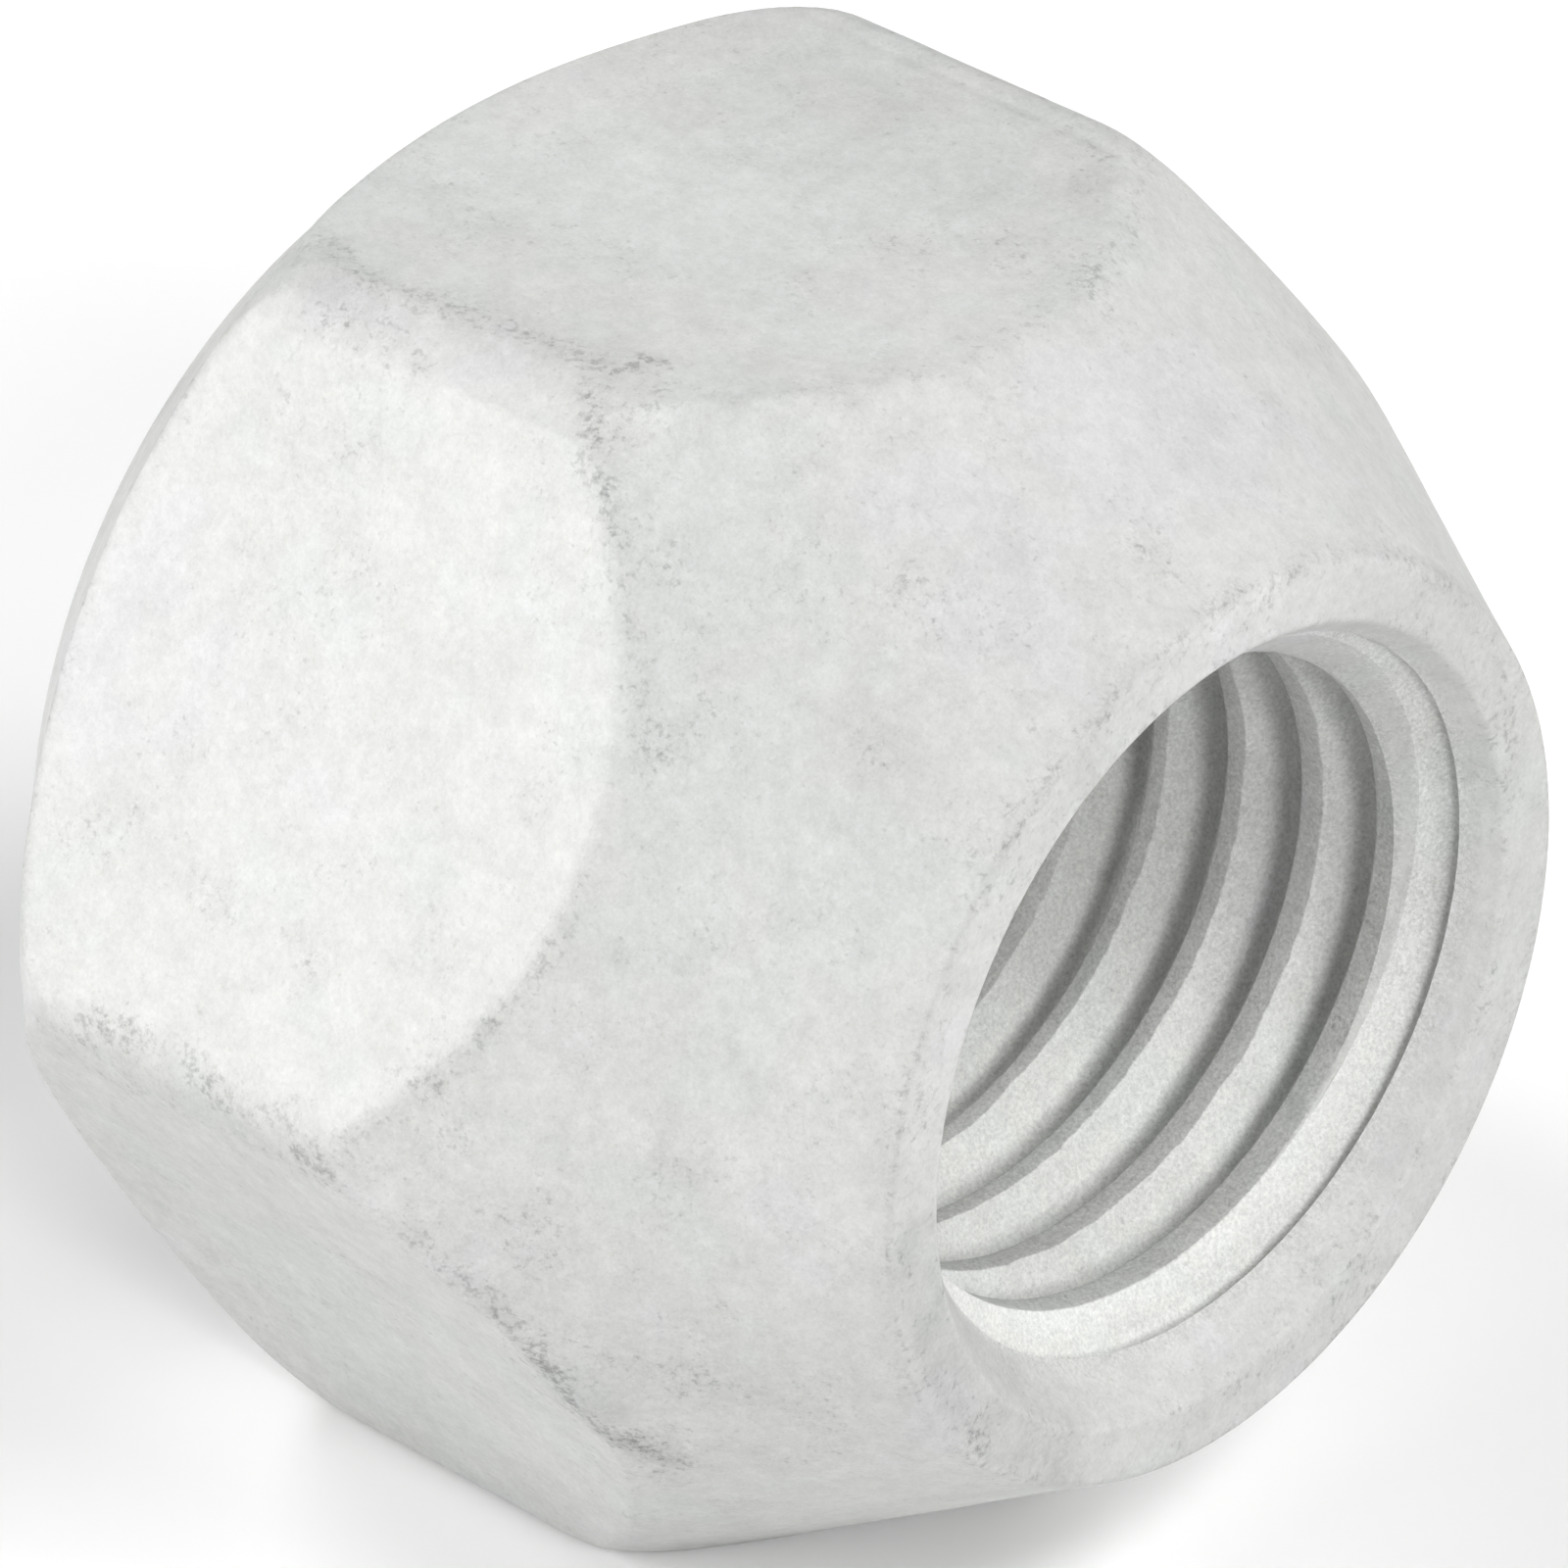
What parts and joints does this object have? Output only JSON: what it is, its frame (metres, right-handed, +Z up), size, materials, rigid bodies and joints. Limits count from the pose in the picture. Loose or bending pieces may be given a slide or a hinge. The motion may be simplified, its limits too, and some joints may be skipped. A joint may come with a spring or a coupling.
{
  "type": "lug nut",
  "caption": "Open-ended hexagonal wheel nut with a conical seat, threaded right through, that clamps a wheel onto its stud.",
  "frame": {"origin": "on the wrench flat that the nut lies on, midway between its two ends", "axes": "+X along the thread axis towards the conical seat end, +Z up from the flat it lies on, +Y across two opposite corners of the hexagon"},
  "size_m": [0.0164, 0.0234, 0.0206],
  "materials": {
    "coated_steel": "matt light grey zinc-flake coating over forged steel"
  },
  "bodies": {
    "root": {"lug_nut": "coated_steel"}
  },
  "joints": []
}
